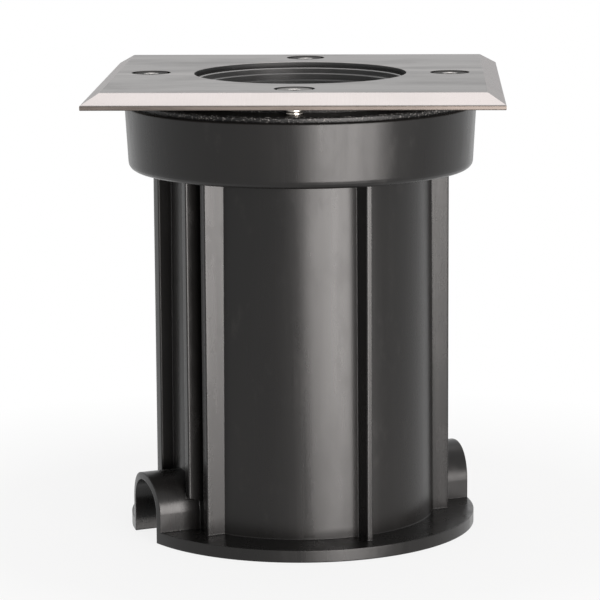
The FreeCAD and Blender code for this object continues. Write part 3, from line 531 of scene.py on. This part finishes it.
def clear_glass(name, tint):
    """Glass with a very fine waviness."""
    material = plain_finish(name, tint, 0.04, grain=60.0, height=0.002 * MM)
    shader = material.node_tree.nodes["Principled BSDF"]
    shader.inputs["Transmission Weight"].default_value = 1.0
    shader.inputs["IOR"].default_value = 1.5
    return material

print("plain finish maker ready")

# %% [markdown]
# ## Ten plain finishes
# Rubber, ceramic, brass and the rest differ mainly in their colour and in how dull
# they are, so each is one line with those two values. The metals also get a metallic
# value of one.

# %% Plain finishes
rubber = plain_finish("soft_black_rubber", (0.02, 0.02, 0.02), 0.6)
aluminium = plain_finish("reflector_aluminium", (0.78, 0.78, 0.79), 0.14, 1.0)
ceramic = plain_finish("cream_ceramic", (0.74, 0.70, 0.62), 0.5)
white_plastic = plain_finish("white_plastic", (0.75, 0.74, 0.70), 0.45)
brass = plain_finish("plain_brass", (0.72, 0.52, 0.22), 0.28, 1.0)
zinc = plain_finish("zinc_steel", (0.58, 0.58, 0.57), 0.32, 1.0)
cream_nylon = plain_finish("cream_nylon", (0.68, 0.64, 0.55), 0.5)
lead_skin = plain_finish("silicone_lead", (0.62, 0.58, 0.50), 0.55)
black_nylon = plain_finish("black_nylon", (0.022, 0.022, 0.022), 0.42)
glass = clear_glass("clear_glass", (0.92, 0.96, 0.95))
print("inner finishes made, the last is", glass.name)

# %% [markdown]
# ## Loops and bands
# The plate and the screws could be cut from blocks, but cut faces are hard to give
# finishes of their own. Here each is a row of edge loops that are bridged one to the
# next, so every band of faces can have its own finish, and every edge of the plate a
# small rounding that shows as a thin light line.

# %% Loop helpers
CORNER_MIDDLE = 0.293         # a rounded corner's middle, as a share of its two cuts

def edges_of(verts):
    """All edges that touch these vertices, each once."""
    return list({edge for vert in verts for edge in vert.link_edges})

def loop(maker, sides, radius, z, x=0.0, y=0.0, turn=0.0):
    """Flat loop of edges round an upright axis."""
    place = Matrix.Translation((x, y, z)) @ Matrix.Rotation(turn, 4, "Z")
    made = bmesh.ops.create_circle(maker, cap_ends=False, segments=sides, radius=radius, matrix=place)
    return edges_of(made["verts"])

def softened(outline, size):
    """Outline of (radius, height) points whose inner corners are cut round by a size."""
    points = [Vector(p) for p in outline]
    soft = [points[0]]
    for before, here, after in zip(points, points[1:], points[2:]):
        back_step = (before - here).normalized() * size
        next_step = (after - here).normalized() * size
        middle = here + (back_step + next_step) * CORNER_MIDDLE
        soft += [here + back_step, middle, here + next_step]
    return soft + [points[-1]]

def band(maker, sides, outline, x=0.0, y=0.0, turn=0.0, grow=1.0):
    """Skin through loops at each point of an outline; returns its first and last loop."""
    loops = [loop(maker, sides, r * grow, z, x, y, turn) for r, z in outline]
    for low, high in zip(loops, loops[1:]):
        bmesh.ops.bridge_loops(maker, edges=low + high)
    return loops[0], loops[-1]

print("loop helpers ready")

# %% [markdown]
# ## Sizes of the cover plate
# The plate is the piece that people walk on and look at, and its bevels, rim and
# holes each catch the light in their own way, so it is built again here, finer than
# in CAD. Its outside is measured from the CAD plate and its other sizes are the
# CAD's too, so it fits the same pieces.

# %% Plate sizes
PLATE_HALF = (plate_high.x - plate_low.x) / 2.0
Z_TOP = plate_high.z
Z_UNDER = plate_low.z
BEVEL_IN = 4.8 * MM
BEVEL_DROP = 2.9 * MM
RIDGE = PLATE_HALF - BEVEL_IN # where the flat top meets the bevels
APERTURE_R = 29.1 * MM
WEB = 1.5 * MM                # steel left over the seal
RECESS_R = 37.7 * MM          # round the housing's raised rim
RECESS_DEPTH = 2.7 * MM
SEAL_RECESS_R = 36.4 * MM
SCREW_CIRCLE = 41.0 * MM
SINK_R = 5.4 * MM
HOLE_R = 2.8 * MM
EDGE = 0.22 * MM              # rounding of the plate's outer edges
BORE_EDGE = EDGE * 0.6
SINK_EDGE = 0.07 * MM
SLOPE = 0.05 * MM             # loops at one height bridge badly, so the webs slope a hair
SCREW_PLACES = {"front": (0.0, -SCREW_CIRCLE), "back": (0.0, SCREW_CIRCLE),
                "left": (-SCREW_CIRCLE, 0.0), "right": (SCREW_CIRCLE, 0.0)}
print("plate half width in mm:", round(PLATE_HALF / MM, 2))

# %% [markdown]
# ## Shape of the cover plate
# A real plate is pressed or milled from one sheet. Here its outside is a four-sided
# band and its aperture and screw holes are round bands, each with a short lip on the
# flat faces. The flat top and underside are then filled between the open lips, which
# closes the plate without any cutting.

# %% Plate shape
BORE_SIDES = 128
HOLE_SIDES = 48
HAIR = 1e-6                   # heights closer than this count as the same, in metres

def fill_flat(maker, z):
    """Closes the flat face between all open loops at one height."""
    rim = [e for e in maker.edges
           if e.is_boundary and all(abs(v.co.z - z) < HAIR for v in e.verts)]
    bmesh.ops.triangle_fill(maker, use_beauty=True, edges=rim)

def plate_shape():
    """Closed plate with bevels, stepped aperture and four countersunk holes."""
    maker = bmesh.new()
    outside = [(RIDGE - 2.0 * EDGE, Z_TOP), (RIDGE, Z_TOP), (PLATE_HALF, Z_TOP - BEVEL_DROP),
               (PLATE_HALF, Z_UNDER), (PLATE_HALF - 2.0 * EDGE, Z_UNDER)]
    band(maker, 4, softened(outside, EDGE), turn=math.radians(45.0), grow=math.sqrt(2.0))
    bore = [(APERTURE_R + 2.0 * EDGE, Z_TOP), (APERTURE_R, Z_TOP), (APERTURE_R, Z_TOP - WEB),
            (SEAL_RECESS_R, Z_TOP - WEB - SLOPE), (SEAL_RECESS_R, Z_TOP - RECESS_DEPTH),
            (RECESS_R, Z_TOP - RECESS_DEPTH - SLOPE), (RECESS_R, Z_UNDER),
            (RECESS_R + 2.0 * EDGE, Z_UNDER)]
    band(maker, BORE_SIDES, softened(bore, BORE_EDGE))
    sink = [(SINK_R + EDGE, Z_TOP), (SINK_R, Z_TOP), (HOLE_R, Z_TOP - SINK_R + HOLE_R),
            (HOLE_R, Z_UNDER), (HOLE_R + 0.1 * MM, Z_UNDER)]
    for x, y in SCREW_PLACES.values():
        band(maker, HOLE_SIDES, softened(sink, SINK_EDGE), x, y)
    fill_flat(maker, Z_TOP)
    fill_flat(maker, Z_UNDER)
    bmesh.ops.recalc_face_normals(maker, faces=maker.faces)
    return maker

shape = plate_shape()
print("plate faces", len(shape.faces), "open edges", sum(not e.is_manifold for e in shape.edges))

# %% [markdown]
# ## Finishes on the plate's bands
# Each face is asked where it lies: beyond the ridge, inside the aperture or near a screw. That is
# simpler than keeping lists of faces while the plate is built. The underside takes the rim's finish,
# with its painted dark reflection, as neither is brushed.

# %% Finish and place the plate
TOP, BEVEL, RIM, BORE, SINK = range(5)

def sort_plate_faces(maker):
    """Gives each band of the plate the index of its finish."""
    for face in maker.faces:
        spot = face.calc_center_median()
        reach = spot.to_2d().length
        near_screw = min((spot.to_2d() - Vector(p)).length for p in SCREW_PLACES.values())
        outside = max(abs(spot.x), abs(spot.y))
        face.material_index = TOP
        if outside > PLATE_HALF - EDGE * 0.2 or face.normal.z < -0.5:
            face.material_index = RIM
        elif outside > RIDGE - EDGE * 0.2:
            face.material_index = BEVEL
        elif near_screw < SINK_R and spot.z < Z_TOP - HAIR:
            face.material_index = SINK
        elif reach < APERTURE_R + 10.0 * HAIR:
            face.material_index = BORE
        face.smooth = abs(face.normal.z) < 0.999 and outside < RIDGE

sort_plate_faces(shape)
plate_steels = ("brushed_top", "ground_bevel", "rim_painted_reflection", "bore_painted_shade", "countersink_painted_shade")
plate = link_piece("bevelled_cover", shape, [steel[kind] for kind in plate_steels])
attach(plate, "cover")
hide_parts("cover_plate")
print("placed", plate.name, "with", len(plate.data.materials), "finishes")

# %% [markdown]
# ## Sizes of a cover screw
# Four countersunk screws with a hexagon socket hold the plate, and the front one's
# thread shows in the gap under the plate. A thread is a helix, but one ridge per
# turn looks the same at this size, so it is a row of rings, bridged like the plate.
# The head is a hair smaller than its countersink, so the two never touch.

# %% Screw sizes and thread
HEAD_SINK = 0.25 * MM         # head below the plate's face
HEAD_R = 4.74 * MM            # just clear of the countersink
HEAD_RIM = 0.35 * MM
HEAD_EDGE = 0.12 * MM
SHANK_R = 2.5 * MM
SCREW_LENGTH = 16.0 * MM
PITCH = 0.8 * MM
THREAD_DEPTH = 0.42 * MM
TIP_PLAIN = 0.8 * MM          # no ridge is nearer to the tip than this
TIP_CUT = 0.6 * MM
SOCKET_R = 1.732 * MM         # over the hexagon's corners
SOCKET_DEPTH = 1.9 * MM
SOCKET_MOUTH = 0.35 * MM      # width of the cone round the socket
MOUTH_DEPTH = 0.25 * MM

def thread_outline(z_start, z_tip):
    """Ridge and groove points down the shank."""
    outline = [(SHANK_R, z_start)]
    z = z_start - 0.5 * PITCH
    while z - PITCH > z_tip + TIP_PLAIN:
        outline += [(SHANK_R, z), (SHANK_R - THREAD_DEPTH, z - 0.45 * PITCH),
                    (SHANK_R - THREAD_DEPTH, z - 0.55 * PITCH)]
        z -= PITCH
    return outline + [(SHANK_R, z), (SHANK_R, z_tip + TIP_CUT), (SHANK_R - TIP_CUT, z_tip)]

print("screw length and pitch in mm:", round(SCREW_LENGTH / MM, 1), round(PITCH / MM, 1))

# %% [markdown]
# ## Shape of a cover screw
# The head and shank are one round band and the socket is a six-sided one. Their
# mouths are bridged, and the socket's floor and the screw's tip are closed by one
# face each, so the screw is a closed body.

# %% Screw shape
def screw_shape(x, y):
    """Closed screw at a place on the plate; returns it with the height of its neck."""
    maker = bmesh.new()
    z_head = Z_TOP - HEAD_SINK
    z_cone = z_head - HEAD_RIM
    z_neck = z_cone - (HEAD_R - SHANK_R)
    z_tip = z_head - SCREW_LENGTH
    head = [(SOCKET_R + SOCKET_MOUTH, z_head), (HEAD_R - HEAD_EDGE, z_head),
            (HEAD_R, z_head - HEAD_EDGE), (HEAD_R, z_cone)]
    first, last = band(maker, HOLE_SIDES, head + thread_outline(z_neck, z_tip), x, y)
    bmesh.ops.contextual_create(maker, geom=last)
    mouth = loop(maker, 6, SOCKET_R, z_head - MOUTH_DEPTH, x, y)
    socket_floor = loop(maker, 6, SOCKET_R, z_head - SOCKET_DEPTH, x, y)
    bmesh.ops.bridge_loops(maker, edges=mouth + socket_floor)
    bmesh.ops.contextual_create(maker, geom=socket_floor)
    bmesh.ops.bridge_loops(maker, edges=first + mouth)
    bmesh.ops.recalc_face_normals(maker, faces=maker.faces)
    return maker, z_neck

print("screw shape ready")

# %% [markdown]
# ## Placing the screws
# Head, socket and thread each get their own copy of the steel, again by where a face lies: a shaded or
# lit head, and painted highlights on the socket and the thread. Every screw rides on its own joint, so
# it turns alone and comes up with the plate.

# %% Build the four screws
HEAD_FACE, SOCKET_FACE, THREAD_FACE = range(3)
SOCKET_EDGE = 0.3 * MM        # faces this far round the socket still belong to it
NECK_STEP = 0.1 * MM

def build_screw(side, x, y, head_finish):
    """One screw with its finishes, riding on its joint."""
    maker, z_neck = screw_shape(x, y)
    for face in maker.faces:
        spot = face.calc_center_median()
        reach = (spot.to_2d() - Vector((x, y))).length
        face.material_index = HEAD_FACE
        if spot.z < z_neck - NECK_STEP and reach > SOCKET_R:
            face.material_index = THREAD_FACE
        elif reach < SOCKET_R + SOCKET_EDGE:
            face.material_index = SOCKET_FACE
        face.smooth = reach > SOCKET_R + SOCKET_EDGE and abs(face.normal.z) < 0.99
    finishes = [head_finish, steel["socket_painted_highlight"], steel["thread_painted_highlight"]]
    screw = link_piece("socket_screw_" + side, maker, finishes)
    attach(screw, "screw_" + side)
    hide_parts("cover_screw_" + side)
    return screw

for side, (x, y) in SCREW_PLACES.items():
    # the front head gets the painted light, the other heads the painted shade
    head_kind = "lit_screw_head" if side == "front" else "shaded_screw_head"
    screw = build_screw(side, x, y, steel[head_kind])
    print(screw.name, "faces", len(screw.data.polygons))

# %% [markdown]
# ## Dressing the CAD pieces
# All other pieces keep their CAD meshes and only get a finish. The plate and the
# screws are in the list too: the finer ones hide their CAD pieces, but these still
# belong to the frame, and with a full list a forgotten piece is easy to see.

# %% Give each CAD piece its finish
FINISHES = {
    "installation_sleeve": sleeve_finish, "lamp_housing": coat,
    "cover_plate": steel["brushed_top"],
    "cover_screw_front": steel["shaded_screw_head"], "cover_screw_back": steel["shaded_screw_head"],
    "cover_screw_left": steel["shaded_screw_head"], "cover_screw_right": steel["shaded_screw_head"],
    "retaining_ring": ring_black, "glass": glass, "seat_ring": rubber,
    "lower_glass_seal": rubber, "upper_glass_seal": rubber, "cover_seal": rubber,
    "lamp_reflector": aluminium, "lamp_lens": glass, "lamp_capsule": glass,
    "lamp_base": white_plastic, "lamp_pins": zinc, "lamp_holder": ceramic,
    "holder_contacts": brass, "holder_bracket": zinc, "holder_screws": zinc,
    "bracket_screws": zinc, "terminal_block": cream_nylon, "terminal_poles": brass,
    "terminal_screws": zinc, "holder_leads": lead_skin, "earth_screw": brass,
    "gland_body": black_nylon, "gland_washer": rubber, "gland_locknut": black_nylon,
    "gland_seal": rubber, "gland_dome_nut": black_nylon,
}

for name, finish in FINISHES.items():
    materials = nodes[name].data.materials
    materials.clear()
    materials.append(finish)
print("dressed", len(FINISHES), "pieces; left bare:", sorted(set(nodes) - set(FINISHES)))

# %% [markdown]
# ## End
# The dressed model must stay inside the CAD model's box.

# %% Finish
print("script finished")
